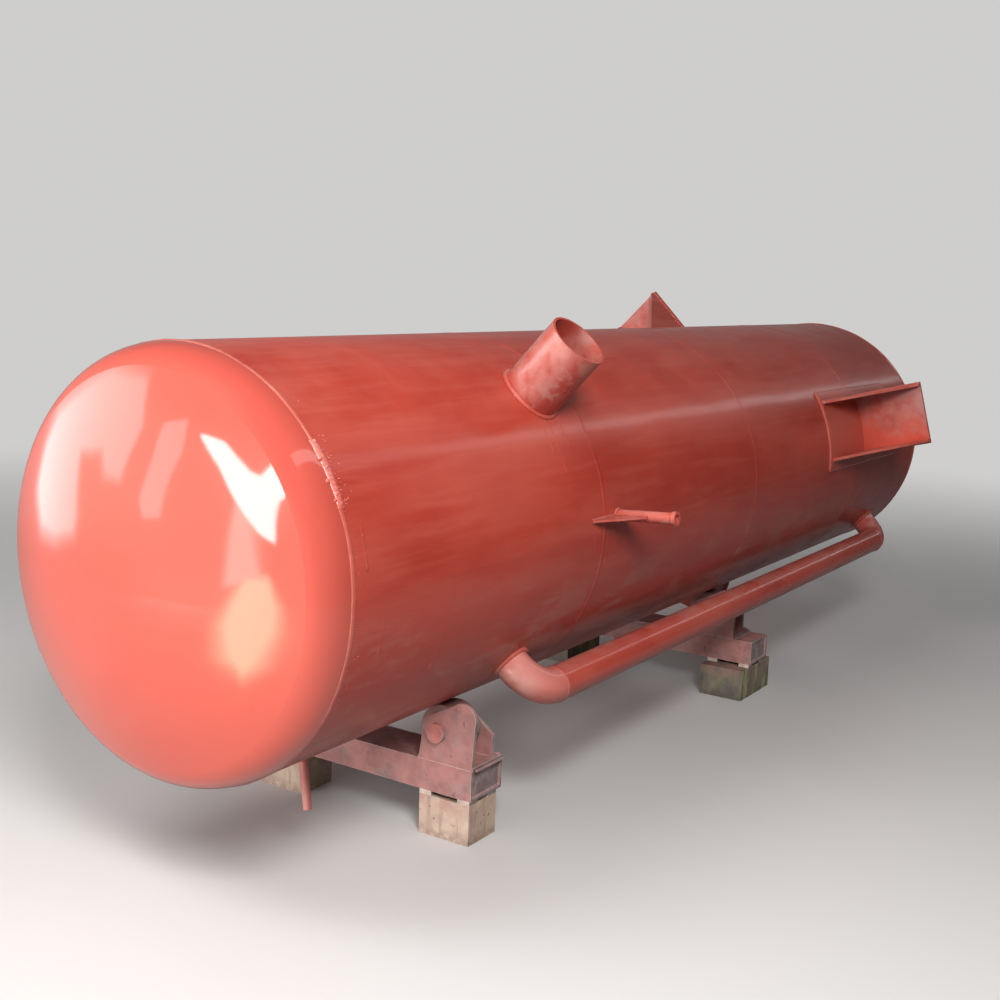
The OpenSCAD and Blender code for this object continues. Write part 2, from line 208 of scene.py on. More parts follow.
class Paint(Nodes):
    """The node tree of one material. Its colour grows layer by layer."""

    def __init__(self, name, **sockets):
        self.material = new_material(name)
        super().__init__(self.material.node_tree)
        self.shader = self.tree.nodes["Principled BSDF"]
        for socket, value in sockets.items():
            self.shader.inputs[socket.replace("_", " ")].default_value = value
        self.place = self.new("TexCoord").outputs["Object"]
        self.geometry = self.new("NewGeometry")
        self.colour = None

    def set(self, name, source):
        self.put(self.shader.inputs[name], source)

    def cover(self, factor, colour):
        """Lays a colour over what is there, as thickly as the factor says."""
        self.colour = self.mix(factor, self.colour, colour)

    def noise(self, scale, low=0.4, high=0.6, stretch=(1, 1, 1), detail=4.0, rough=0.55, shift=0.0):
        """A cloudy mask from 0 to 1, with features about 1 / scale metres across."""
        mapping = self.new("Mapping")
        mapping.inputs["Scale"].default_value = stretch
        mapping.inputs["Location"].default_value = (shift, shift, shift)
        self.put(mapping.inputs["Vector"], self.place)
        node = self.new("TexNoise")
        node.inputs["Scale"].default_value = scale
        node.inputs["Detail"].default_value = detail
        node.inputs["Roughness"].default_value = rough
        self.put(node.inputs["Vector"], mapping.outputs[0])
        return self.span(node.outputs["Fac"], low, high)

    def facing(self, direction):
        """How much the surface faces a direction, from -1 to 1 if its length is 1."""
        return self.vector("DOT_PRODUCT", self.geometry.outputs["Normal"], tuple(direction))

    def along(self, axis):
        """The place along one axis, in metres."""
        return self.axis(self.place, axis)

    def rounded(self, width):
        """The surface's normal with its edges rounded."""
        bevel = self.new("Bevel")
        bevel.samples = 4
        bevel.inputs["Radius"].default_value = width
        return bevel.outputs["Normal"]

    def edges(self, width):
        """A mask that is 1 at outer and inner edges, from rounded normals."""
        same = self.vector("DOT_PRODUCT", self.rounded(width), self.geometry.outputs["Normal"])
        return self.span(same, 0.98, 0.75)

    def clear_of_painted_shade(self, distance):
        """A mask that is 1 on open faces and 0 deep in corners and pipes, where it paints shade by keeping
        pale layers out.
        """
        node = self.new("AmbientOcclusion")
        node.samples = 6
        node.inputs["Distance"].default_value = distance
        return self.span(node.outputs["AO"], 0.45, 0.95)

    def crown_normal(self):
        """The true normal of the heads' round crowns close to their middles, and the mesh's own elsewhere."""
        centre = self.new("CombineXYZ")
        self.put(centre.inputs["X"], AXIS_X)
        self.put(centre.inputs["Y"], self.times(self.math("SIGN", self.along("Y")), CROWN_CENTRE))
        self.put(centre.inputs["Z"], AXIS_Z)
        ray = self.vector("SUBTRACT", self.place, centre.outputs[0])
        from_axis = self.vector("LENGTH", self.vector("MULTIPLY", ray, (1, 0, 1)))
        node = self.new("Mix")
        node.data_type = "VECTOR"
        self.put(node.inputs["Factor"], self.span(from_axis, 0.16, 0.08))
        self.put(node.inputs["A"], self.geometry.outputs["Normal"])
        self.put(node.inputs["B"], self.vector("NORMALIZE", ray))
        return node.outputs["Result"]

    def bump(self, *layers, normal=None):
        """Layers of (mask, depth in metres), on a given normal or on the mesh's own."""
        for mask, depth in layers:
            node = self.new("Bump")
            node.inputs["Strength"].default_value = 1.0
            node.inputs["Distance"].default_value = depth
            self.put(node.inputs["Height"], mask)
            if normal is not None:
                self.put(node.inputs["Normal"], normal)
            normal = node.outputs["Normal"]
        self.set("Normal", normal)
        if self.shader.inputs["Coat Weight"].default_value > 0:
            self.set("Coat Normal", normal)

    def finish(self, roughness, *layers, normal=None):
        """Links the colour, the roughness and the bump layers."""
        self.set("Base Color", self.colour)
        self.set("Roughness", roughness)
        self.bump(*layers, normal=normal)
        return self.material


# Materials

PRIMER = (0.50, 0.058, 0.034)
PRIMER_DEEP = (0.40, 0.038, 0.022)
PRIMER_PALE = (0.60, 0.14, 0.10)
# Painted shade on what faces down
PRIMER_UNDERSIDE_SHADE = (0.33, 0.032, 0.024)
# Brighter primer for the heads, in part painted light on them
LIT_HEAD_PRIMER = (0.63, 0.110, 0.076)
LIT_HEAD_PRIMER_DEEP = (0.57, 0.090, 0.061)
# Painted shade on the heads' upper right
HEAD_PRIMER_SHADE = (0.44, 0.066, 0.046)
LUG_GREY = (0.42, 0.24, 0.23)
# Brighter primer that paints the light on the lower part of the right lug's plate
LUG_LIT = (0.66, 0.085, 0.045)
# Dust on what faces up, and pale streaks on what faces down that paint the floor's reflection
DUST_AND_REFLECTION = (0.46, 0.23, 0.18)
# Pale mist, which also paints the highlight on faces towards the lamps
MIST_AND_HIGHLIGHT = (0.62, 0.31, 0.27)
BARE_INSIDE = (0.075, 0.045, 0.035)
RUSTY_INSIDE = (0.17, 0.075, 0.045)
RUST = (0.17, 0.07, 0.045)
SCUFF = (0.10, 0.06, 0.05)
# Pale worn edges, which also paint the highlights on the stands' edges
WORN_EDGE_AND_HIGHLIGHT = (0.72, 0.57, 0.50)
OLD_WORN_EDGE = (0.66, 0.52, 0.42)
OLD_CHIP = (0.12, 0.065, 0.045)
OLD_GREEN = (0.30, 0.32, 0.17)
OLD_PINK = (0.46, 0.21, 0.18)
MOSS = (0.44, 0.42, 0.20)
TREAD_DARK = (0.24, 0.21, 0.20)
TREAD_BRIGHT = (0.38, 0.34, 0.32)
TREAD_DIRT = (0.12, 0.085, 0.07)
TREAD_MIST = (0.40, 0.17, 0.15)

# Depth of the primer's orange peel on pipes and welds
PIPE_PEEL = 0.03 * MM


class Primer(Paint):
    """Sprayed red oxide primer in cloudy coats.

    pale, spray, dusty and mist are the strengths of pale passes of the gun, of painted shade and a painted
    floor reflection on what faces down, of dust on what faces up, and of a pale mist on what faces the lamps,
    which also paints their highlight. even makes the clouds slow and soft.
    """

    def __init__(self, name, colour=PRIMER, deep=PRIMER_DEEP, pale=0.25, dusty=0.12, spray=0.55, mist=0.0,
                 coat=0.25, coat_rough=0.09, shine=0.3, even=False):
        super().__init__(name, Coat_Weight=coat, Coat_Roughness=coat_rough, Specular_IOR_Level=shine)
        low, high, detail = (0.05, 0.95, 3) if even else (0.32, 0.70, 5)
        self.clouds = self.noise(1.7, low, high, detail=detail)
        self.colour = self.mix(self.clouds, deep, colour)
        self.lay_passes(pale)
        self.lay_painted_underside(spray)
        self.lay_dust(dusty)
        self.lay_mist_and_highlight(mist)
        specks = self.noise(160, 0.66, 0.74, detail=2, shift=2)
        self.cover(self.times(specks, 0.3), PRIMER_PALE)

    def lay_passes(self, pale):
        """Pale passes of the gun round the tank, and finer brush marks."""
        passes = self.noise(5.0, 0.42, 0.62, stretch=(1, 0.22, 1), shift=3)
        self.cover(self.times(passes, pale), PRIMER_PALE)
        brush = self.noise(34, 0.46, 0.66, stretch=(1, 0.07, 1), shift=23, detail=5, rough=0.6)
        self.cover(self.times(brush, 0.6 * pale), PRIMER_PALE)

    def lay_painted_underside(self, spray):
        """Painted shade: a darker coat on what faces down, with pale streaks and puffs that paint the floor's
        reflection.
        """
        down = self.facing((0, 0, -1))
        self.cover(self.times(self.span(down, -0.25, 0.45), spray), PRIMER_UNDERSIDE_SHADE)
        # Pale streaks and puffs that paint the floor's reflection on what faces down
        streaks = self.noise(12, 0.54, 0.63, stretch=(1.5, 0.24, 1.5), shift=11, detail=8, rough=0.68)
        puffs = self.noise(5.5, 0.50, 0.60, stretch=(1, 0.4, 1), shift=27, detail=8, rough=0.64)
        streaks = self.math("MAXIMUM", streaks, self.times(puffs, 0.85))
        self.painted_floor_reflection = self.times(self.span(down, 0.0, 0.55), streaks, spray)
        self.cover(self.painted_floor_reflection, DUST_AND_REFLECTION)

    def lay_dust(self, dusty):
        above = self.span(self.facing((0, 0, 1)), 0.45, 0.98)
        self.settled = self.times(above, self.noise(9, 0.35, 0.7, shift=5, detail=6), dusty)
        self.cover(self.settled, DUST_AND_REFLECTION)

    def lay_mist_and_highlight(self, mist):
        """Pale mist and painted highlight towards the near end, left and sky, kept out of corners and pipes.
        """
        front = self.span(self.facing((-0.30, -0.86, 0.40)), 0.05, 0.75)
        lit_mist = self.times(front, self.noise(14, 0.25, 0.72, shift=17, detail=6))
        if mist:
            # Painted shade: the pale mist is kept out of corners and pipes
            lit_mist = self.times(lit_mist, self.clear_of_painted_shade(0.06))
        self.cover(self.times(lit_mist, mist), MIST_AND_HIGHLIGHT)

    def done(self, rough, peel=PIPE_PEEL, wave=0.0, normal=None):
        """Finishes with a roughness of about rough, orange peel and slow waves, both as depths."""
        dull = self.plus(self.times(self.settled, 0.9), self.times(self.painted_floor_reflection, 0.7))
        varied = self.plus(self.times(self.clouds, 0.08), rough - 0.04)
        layers = [(self.noise(420, 0.3, 0.7, detail=1, shift=7), peel)]
        if wave:
            layers.insert(0, (self.noise(4.2, 0.2, 0.8, detail=1.5, stretch=(1, 0.6, 1), shift=9), wave))
        return self.finish(self.plus(varied, dull, clamp=True), *layers, normal=normal)


def rust_inside(p):
    """Bare rusty steel on the faces that look towards the middle of the tank."""
    from_middle = p.vector("SUBTRACT", p.place, tuple(TANK_MIDDLE))
    outwards = p.vector("DOT_PRODUCT", p.geometry.outputs["True Normal"], from_middle)
    rusty = p.mix(p.noise(14, 0.4, 0.65), BARE_INSIDE, RUSTY_INSIDE)
    p.cover(p.math("LESS_THAN", outwards, 0.0), rusty)


def shell_primer(name):
    """Satin primer with slow waves on the rolled courses."""
    p = Primer(name, shine=0.2)
    rust_inside(p)
    return p.done(0.36, peel=0.04 * MM, wave=1.2 * MM)


def head_primer(name):
    """Wet, mirror-like primer on the heads, partly painted light, with painted shade towards the upper right.
    """
    p = Primer(name, colour=LIT_HEAD_PRIMER, deep=LIT_HEAD_PRIMER_DEEP, pale=0.0, dusty=0.0, spray=0.0, coat=0.95,
               coat_rough=0.04, shine=0.15, even=True)
    # Painted shade: darker where the heads face up and to the right
    p.cover(p.times(p.span(p.facing((0.707, 0, 0.707)), 0.10, 0.65), 0.75), HEAD_PRIMER_SHADE)
    rust_inside(p)
    return p.done(0.30, peel=0.008 * MM, wave=0.25 * MM, normal=p.crown_normal())


def lug_primer(name):
    """Primer on the lugs: the right one's plate is grey with dust above, and brighter below as painted light.
    """
    p = Primer(name, colour=(0.54, 0.075, 0.045), pale=0.7, dusty=0.4, mist=0.5)
    plate = p.times(p.span(p.facing((0, -1, 0)), 0.5, 0.9), p.span(p.along("X"), 0.2, 0.3))
    ragged_height = p.plus(p.along("Z"), p.times(p.noise(12, 0.3, 0.7, detail=6, shift=31), 0.10))
    p.cover(p.times(p.span(ragged_height, 1.20, 1.34), plate, 0.6), LUG_GREY)
    # Painted light on the lower part of the plate
    p.cover(p.times(p.span(ragged_height, 1.22, 1.12), plate, 0.7), LUG_LIT)
    return p.done(0.36, peel=0.04 * MM)


def overspray(name, steel, amount=0.9, pinks=((0.50, 0.225, 0.20), (0.37, 0.16, 0.145))):
    """Dirty steel under the primer's dusty mist, which lies thickest on the faces turned to the front."""
    p = Paint(name, Specular_IOR_Level=0.3)
    dirt = p.noise(22, 0.38, 0.66, detail=6, shift=4)
    p.colour = p.mix(dirt, steel, tuple(0.6 * c for c in steel))
    p.cover(p.times(p.noise(35, 0.60, 0.72, detail=7, shift=8), 0.6), RUST)
    reached = p.span(p.facing(Vector((-0.15, -0.9, 0.35)).normalized()), -0.35, 0.45)
    pink = p.mix(p.noise(16, 0.36, 0.66, detail=7, shift=6), *pinks)
    p.cover(p.times(p.noise(11, 0.20, 0.52, detail=6, shift=1), reached, amount), pink)
    p.cover(p.times(p.noise(55, 0.62, 0.70, detail=6, shift=14, stretch=(1, 1, 0.5)), 0.5), SCUFF)
    # Worn edges, pale as painted highlights too
    p.cover(p.times(p.edges(4 * MM), p.noise(50, 0.32, 0.54, shift=12), 0.85), WORN_EDGE_AND_HIGHLIGHT)
    lumps = p.noise(60, 0.3, 0.7, detail=5, shift=3)
    grain = p.noise(350, 0.3, 0.7, detail=2)
    return p.finish(p.plus(p.times(dirt, 0.2), 0.55), (lumps, 0.5 * MM), (grain, 0.1 * MM),
                    normal=p.rounded(1.5 * MM))


def old_paint(name, paint, patch, grime, green=0.2):
    """Worn old paint on a pedestal: patches, streaks that run down, grime below, mist above, worn edges,
    and moss on the right."""
    p = Paint(name, Specular_IOR_Level=0.3)
    clouds = p.noise(13, 0.38, 0.62, detail=6)
    p.colour = p.mix(clouds, paint, patch)
    p.cover(p.times(p.noise(40, 0.48, 0.70, stretch=(1, 1, 0.12), detail=5, shift=2), 0.45), grime)
    p.cover(p.times(p.noise(8, 0.5, 0.7, shift=6), green), OLD_GREEN)
    p.cover(p.times(p.span(p.along("Z"), 0.05, 0.0), p.noise(45, 0.3, 0.6, shift=9), 0.7), grime)
    p.cover(p.times(p.span(p.along("Z"), 0.05, 0.14), p.noise(24, 0.36, 0.60, shift=15), 0.5), OLD_PINK)
    p.cover(p.times(p.edges(3 * MM), p.noise(60, 0.34, 0.56, shift=12), 0.7), OLD_WORN_EDGE)
    chips = p.noise(48, 0.66, 0.70, detail=5, shift=21)
    p.cover(chips, OLD_CHIP)
    right = p.span(p.facing((1, 0, 0)), 0.5, 0.9)
    moss = p.times(right, p.noise(26, 0.46, 0.62, stretch=(1, 1, 0.3), shift=33))
    p.cover(p.times(moss, 1.6 * green), MOSS)
    dents = p.noise(50, 0.3, 0.7, detail=6, shift=3)
    return p.finish(p.plus(p.times(clouds, 0.2), 0.55), (dents, 0.6 * MM), (chips, -0.3 * MM),
                    normal=p.rounded(1.5 * MM))


def tread_steel(name):
    """A roller's worn tread: rolled bright steel with dirt and a mist of primer."""
    p = Paint(name)
    bands = p.noise(60, 0.35, 0.65, stretch=(0.05, 1, 0.05), shift=3)
    p.colour = p.mix(bands, TREAD_DARK, TREAD_BRIGHT)
    p.cover(p.noise(30, 0.48, 0.66, detail=6, shift=5), TREAD_DIRT)
    mist = p.times(p.span(p.facing((0, -0.9, 0.4)), -0.3, 0.6), p.noise(16, 0.25, 0.5, shift=8))
    p.cover(p.times(mist, 0.8), TREAD_MIST)
    p.set("Metallic", p.times(p.math("SUBTRACT", 1.0, mist), 0.5))
    dents = p.noise(90, 0.3, 0.7, detail=4)
    return p.finish(p.plus(p.times(bands, 0.15), 0.38), (dents, 0.3 * MM), normal=p.rounded(2 * MM))


MATERIALS = {
    "shell_primer": shell_primer("shell_primer"),
    "head_primer": head_primer("head_primer"),
    "pipe_primer": Primer("pipe_primer", pale=0.35, dusty=0.3, mist=0.7, coat=0.35,
                          coat_rough=0.07).done(0.28),
    "misty_pipe": Primer("misty_pipe", colour=(0.60, 0.19, 0.155), deep=(0.54, 0.14, 0.11), pale=0.4,
                         mist=0.9, coat=0.35, coat_rough=0.07).done(0.30),
    "lug_primer": lug_primer("lug_primer"),
    # Pale primer that paints the glint on the mended seam
    "painted_glint_primer": Primer("painted_glint_primer", colour=(0.68, 0.22, 0.18), deep=(0.60, 0.13, 0.10), pale=0.5, mist=0.8,
                         coat=1.0, coat_rough=0.03).done(0.22),
    "weld_primer": Primer("weld_primer", colour=(0.56, 0.085, 0.055), pale=0.6, dusty=0.4, mist=0.3, coat=0.7,
                          coat_rough=0.05).done(0.26),
    # Painted light: a brighter copy of the pipe primer for the side stub, whose top is lit
    "lit_stub_primer": Primer("lit_stub_primer", colour=(0.62, 0.12, 0.08), deep=(0.56, 0.09, 0.06), mist=0.4,
                          coat=0.35).done(0.28),
    "dusty_pipe": Primer("dusty_pipe", colour=(0.56, 0.18, 0.15), deep=(0.50, 0.14, 0.12),
                         mist=0.9).done(0.4),
    "stand_paint": overspray("stand_paint", (0.30, 0.25, 0.24)),
    "pedestal_paint": old_paint("pedestal_paint", (0.52, 0.36, 0.29), (0.62, 0.47, 0.36), (0.26, 0.17, 0.14)),
    # Painted shade: a darker copy of the pedestal paint for the far stand, under the tank
    "far_pedestal": old_paint("far_pedestal", (0.15, 0.13, 0.11), (0.24, 0.20, 0.15), (0.09, 0.07, 0.06),
                              green=0.4),
    # The packing's cream mist is in part a painted highlight on its bright ends
    "packing_steel": overspray("packing_steel", (0.30, 0.24, 0.21),
                               pinks=((0.78, 0.66, 0.56), (0.56, 0.42, 0.35))),
    "roller_steel": tread_steel("roller_steel"),
    "pin_steel": overspray("pin_steel", (0.32, 0.26, 0.25), amount=1.0,
                           pinks=((0.54, 0.20, 0.17), (0.42, 0.14, 0.12))),
    "stand_weld": overspray("stand_weld", (0.32, 0.27, 0.26), amount=0.8),
}


def material_of(node):
    """A node's material: its slot's, or another one where the finish, painted light or painted shade differs
    within a slot.
    """
    slot = SLOT_OF[node]
    if node.endswith("_head"):
        return "head_primer"
    if node == "side_stub":
        return "lit_stub_primer"
    if node.startswith("drain_"):
        return "dusty_pipe"
    if node == "header_near_elbow":
        return "misty_pipe"
    if slot == "pedestal_paint" and node.startswith("far_"):
        return "far_pedestal"
    return slot


def dress_frame():
    for node, obj in frame["nodes"].items():
        obj.data.materials.clear()
        obj.data.materials.append(MATERIALS[material_of(node)])


# Meshes

def new_object(name, points, faces):
    """A mesh object in the scene, from points and faces."""
    mesh = bpy.data.meshes.new(name)
    mesh.from_pydata([tuple(p) for p in points], [], faces)
    obj = bpy.data.objects.new(name, mesh)
    bpy.context.scene.collection.objects.link(obj)
    return obj


def turn_out(mesh):
    """Turns the faces of a closed mesh outwards."""
    made = bmesh.new()
    made.from_mesh(mesh)
    bmesh.ops.recalc_face_normals(made, faces=made.faces)
    made.to_mesh(mesh)
    made.free()


def new_piece(name, points, faces, material, slot):
    """A smooth piece of the object, from a closed mesh."""
    obj = new_object(name, points, faces)
    obj.data.validate()
    obj.data.polygons.foreach_set("use_smooth", [True] * len(obj.data.polygons))
    turn_out(obj.data)
    obj.data.materials.append(MATERIALS[material])
    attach(obj, "root")


def sweep(name, rings, closed, **finish):
    """A piece from rings of points: an array of rings, by points, by 3."""
    count, across = rings.shape[:2]
    faces = []
    for i in range(count if closed else count - 1):
        a, b = i * across, ((i + 1) % count) * across
        faces += [(a + k, a + (k + 1) % across, b + (k + 1) % across, b + k) for k in range(across)]
    if not closed:
        faces.append(tuple(reversed(range(across))))
        faces.append(tuple(range((count - 1) * across, count * across)))
    new_piece(name, rings.reshape(-1, 3).tolist(), faces, **finish)


# Weld beads

FLUSH_WELD = {"material": "shell_primer", "slot": "shell_primer"}
TANK_WELD = {"material": "weld_primer", "slot": "shell_primer"}
STAND_WELD = {"material": "stand_weld", "slot": "stand_paint"}

# Distance between a weld's ripples, and between the rings of its mesh
RIPPLE = 7 * MM
RING_STEP = 1.8 * MM

# Rings in the mesh of a weld round the shell, and of one round a collar
GIRTH_RINGS = 1600
COLLAR_RINGS = 110


def wobble(s, seed):
    """Slow unevenness along a weld, from about -1 to 1."""
    waves = ((7.3, 1.0), (17.9, 0.7), (41.0, 0.5), (90.0, 0.35))
    return sum(a * np.sin(f * s + seed * (1.7 + k)) for k, (f, a) in enumerate(waves)) / 2.0


def ripple(s, u, pitch):
    """Crescent ripples of a weld: s along it, u across it from -1 to 1."""
    return np.abs(np.sin(np.pi * (s / pitch + 0.45 * u * u))) ** 0.7


def distances(points):
    """Distance along a row of points from its first point."""
    return np.concatenate([[0], np.cumsum(np.linalg.norm(np.diff(points, axis=0), axis=1))])


def bead(name, points, outs, sides, width, height, closed, seed, pitch=RIPPLE, **finish):
    """A weld cap along points: it rises along outs and is as wide as width along sides."""
    points, outs, sides = (np.array(a, float) for a in (points, outs, sides))
    s = distances(points)
    u = np.linspace(-1, 1, 7)
    wide = (width / 2) * (1 + 0.14 * wobble(s, seed))
    tall = height * (1 + 0.22 * wobble(s * 1.6, seed + 3))
    if not closed:
        end_taper = 12 * MM
        tall = tall * np.clip(np.minimum(s, s[-1] - s) / end_taper, 0.05, 1) ** 0.6
    crown = (1 - u ** 2)[None, :] ** 0.8
    rise = tall[:, None] * crown * (0.78 + 0.22 * ripple(s[:, None], u[None, :], pitch))
    shift = 0.25 * width / 2 * wobble(s * 0.7, seed + 5)
    across = u[None, :] * wide[:, None] + shift[:, None] * 0.4
    rings = points[:, None] + outs[:, None] * rise[..., None] + sides[:, None] * across[..., None]
    sunk = 1.5 * MM
    foot = points[:, None] + sides[:, None] * (across[:, [-1, 0]] * 0.9)[..., None] - outs[:, None] * sunk
    sweep(name, np.concatenate([rings, foot], axis=1), closed, **finish)


def fillet(name, corners, ups, offs, leg, closed, seed, **finish):
    """A fillet weld in a corner: ups lies along one face, offs along the other."""
    corners, ups, offs = (np.array(a, float) for a in (corners, ups, offs))
    s = distances(corners)
    t = np.linspace(0, 1, 7)
    size = leg * (1 + 0.15 * wobble(s, seed))
    belly = 0.16 + 0.10 * ripple(s[:, None], 2 * t[None, :] - 1, RIPPLE)
    bulge = belly * 4 * (t * (1 - t))[None, :] * size[:, None]
    a = (1 - t)[None, :] * size[:, None] + bulge * 0.7
    b = t[None, :] * size[:, None] + bulge * 0.7
    rings = corners[:, None] + ups[:, None] * a[..., None] + offs[:, None] * b[..., None]
    sunk = 1.0 * MM
    root = (corners - (ups + offs) * sunk)[:, None]
    sweep(name, np.concatenate([rings, root], axis=1), closed, **finish)


def straight_fillet(name, start, end, up, off, leg, seed, finish=TANK_WELD):
    count = max(6, int((Vector(end) - Vector(start)).length / RING_STEP))
    corners = [Vector(start).lerp(Vector(end), t) for t in np.linspace(0, 1, count)]
    fillet(name, corners, [Vector(up)] * count, [Vector(off)] * count, leg, False, seed, **finish)


def girth_seam(name, y, width, height, seed, finish):
    """A weld all the way round the shell."""
    outs = [outward(a) for a in np.linspace(0, 2 * np.pi, GIRTH_RINGS, endpoint=False)]
    points = [on_axis(y) + o * SHELL_R for o in outs]
    bead(name, points, outs, [ALONG] * len(outs), width, height, True, seed, **finish)


def long_seam(name, angle, y0, y1, seed):
    """The seam that closes one rolled course, along the shell."""
    count = int((y1 - y0) / (1.7 * MM))
    points = [on_axis(y) + outward(angle) * SHELL_R for y in np.linspace(y0, y1, count)]
    outs, sides = [outward(angle)] * count, [around(angle)] * count
    bead(name, points, outs, sides, 14 * MM, 1.0 * MM, False, seed, **FLUSH_WELD)


# Angles of the courses' long seams, staggered from course to course
LONG_SEAM_ANGLES = [math.radians(a) for a in (-38, -78, -44, -84)]


def shell_seams():
    """Head seams stand proud, and the seams of and between courses are nearly flush."""
    girth_seam("weld_near_head", SEAMS[0], 16 * MM, 3.0 * MM, 1, TANK_WELD)
    girth_seam("weld_far_head", SEAMS[-1], 16 * MM, 3.0 * MM, 2, TANK_WELD)
    for k, y in enumerate(SEAMS[1:-1]):
        girth_seam(f"weld_girth_{k + 1}", y, 17 * MM, 0.9 * MM, 3 + k, FLUSH_WELD)
    end_gap = 9 * MM
    for k, angle in enumerate(LONG_SEAM_ANGLES):
        long_seam(f"weld_long_{k + 1}", angle, SEAMS[k] + end_gap, SEAMS[k + 1] - end_gap, 7 + k)


def turns_of(radius):
    """Angles round a pipe, one for each ring of its weld's mesh."""
    count = max(96, int(2 * math.pi * radius / RING_STEP))
    return np.linspace(0, 2 * math.pi, count, endpoint=False)


def saddle(name, angle, y, radius, leg, seed):
    """The fillet weld where a radial pipe leaves the shell."""
    out, girth = outward(angle), around(angle)
    corners, ups, offs = [], [], []
    for phi in turns_of(radius):
        away = ALONG * math.cos(phi) + girth * math.sin(phi)
        side = radius * math.sin(phi)
        up = math.sqrt(SHELL_R ** 2 - side ** 2)
        normal = (girth * side + out * up) / SHELL_R
        corners.append(on_axis(y) + out * up + away * radius)
        ups.append(out)
        offs.append((away - normal * away.dot(normal)).normalized())
    fillet(name, corners, ups, offs, leg, True, seed, **TANK_WELD)


def butt_ring(name, centre, axis, radius, seed):
    """A butt weld around a pipe."""
    first = axis.orthogonal().normalized()
    second = axis.cross(first)
    outs = [first * math.cos(a) + second * math.sin(a) for a in turns_of(radius)]
    points = [centre + o * radius for o in outs]
    bead(name, points, outs, [axis] * len(outs), 13 * MM, 2.4 * MM, True, seed, **TANK_WELD)


def collar_ring(name, pipe, height, up, radius, leg, seed):
    """The fillet weld round a radial pipe, at a height over the tank's axis where its radius steps."""
    angle, y = mount_pipe(pipe)
    out, girth = outward(angle), around(angle)
    turns = np.linspace(0, 2 * math.pi, COLLAR_RINGS, endpoint=False)
    offs = [girth * math.cos(a) + ALONG * math.sin(a) for a in turns]
    corners = [on_axis(0) + out * height + ALONG * y + o * radius for o in offs]
    fillet(name, corners, [out * up] * len(offs), offs, leg, True, seed, **TANK_WELD)


def pipe_welds():
    """Saddles of all pipes, and the butt welds between the header pipe and its elbows."""
    saddle("weld_large_nozzle", *mount_pipe("large_nozzle"), half_depth("large_nozzle"), 10 * MM, 21)
    saddle("weld_side_stub", *mount_pipe("side_stub"), STUB_R, 7 * MM, 22)
    saddle("weld_drain", *mount_pipe("drain"), half_depth("drain_socket"), 7 * MM, 23)
    for k, y in enumerate(HEADER_LEGS):
        saddle(f"weld_header_leg_{k + 1}", HEADER_ANGLE, y, HEADER_R, 11 * MM, 24 + k)
    centre = Vector((HEADER_MIDDLE.x, 0, HEADER_MIDDLE.z))
    for k, y in enumerate((HEADER_LO.y, HEADER_HI.y)):
        butt_ring(f"weld_header_butt_{k + 1}", centre + ALONG * y, ALONG, HEADER_R, 26 + k)


def stub_welds():
    """The side stub's collar, and both sides of its gusset."""
    angle = mount_pipe("side_stub")[0]
    out, girth = outward(angle), around(angle)
    origin = on_axis(0)
    ends = local_values("side_stub", origin, out, 2 * MM)
    collar_at = [v for v in ends if v < ends[-1] - 5 * MM][-1]
    collar_ring("weld_stub_collar", "side_stub", collar_at, -1, STUB_R, 4.5 * MM, 31)
    lo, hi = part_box("side_stub_gusset")
    half = abs(max(local_values("side_stub_gusset", origin, girth, 0.2 * MM), key=abs))
    reach = local_values("side_stub_gusset", origin, out)[-1]
    for k, side in enumerate((-1, 1)):
        face = origin + girth * side * half
        foot = face + out * SHELL_R
        straight_fillet(f"weld_stub_gusset_{k + 1}", foot + ALONG * (lo.y + 2 * MM),
                        foot + ALONG * (hi.y - 4 * MM), out, girth * side, 6 * MM, 32 + k)
        straight_fillet(f"weld_stub_gusset_{k + 3}", face + out * (SHELL_R + 6 * MM) + ALONG * hi.y,
                        face + out * (reach - 3 * MM) + ALONG * hi.y, -ALONG, girth * side, 5 * MM, 34 + k)


def drain_weld():
    """The ring where the drain pipe enters its socket."""
    end = local_values("drain_socket", on_axis(0), outward(mount_pipe("drain")[0]))[-1]
    collar_ring("weld_drain_socket", "drain", end, 1, half_depth("drain_pipe"), 5 * MM, 37)


def pad_outline(angle, half_arc, y0, y1):
    """Corner path of a pad's four edges on the shell, and its two directions, for a closed fillet."""
    corners, ups, offs = [], [], []
    step = 2.2 * MM
    arc_steps = int(2 * half_arc * SHELL_R / step)
    long_steps = int((y1 - y0) / step)
    runs = [
        [(a, y0, -ALONG) for a in np.linspace(-half_arc, half_arc, arc_steps)],
        [(half_arc, y, None) for y in np.linspace(y0, y1, long_steps)],
        [(a, y1, ALONG) for a in np.linspace(half_arc, -half_arc, arc_steps)],
        [(-half_arc, y, None) for y in np.linspace(y1, y0, long_steps)],
    ]
    for run in runs:
        for a, y, off in run[:-1]:
            out = outward(angle + a)
            corners.append(on_axis(y) + out * SHELL_R)
            ups.append(out)
            offs.append(off if off is not None else around(angle + a) * (1 if a > 0 else -1))
    return corners, ups, offs


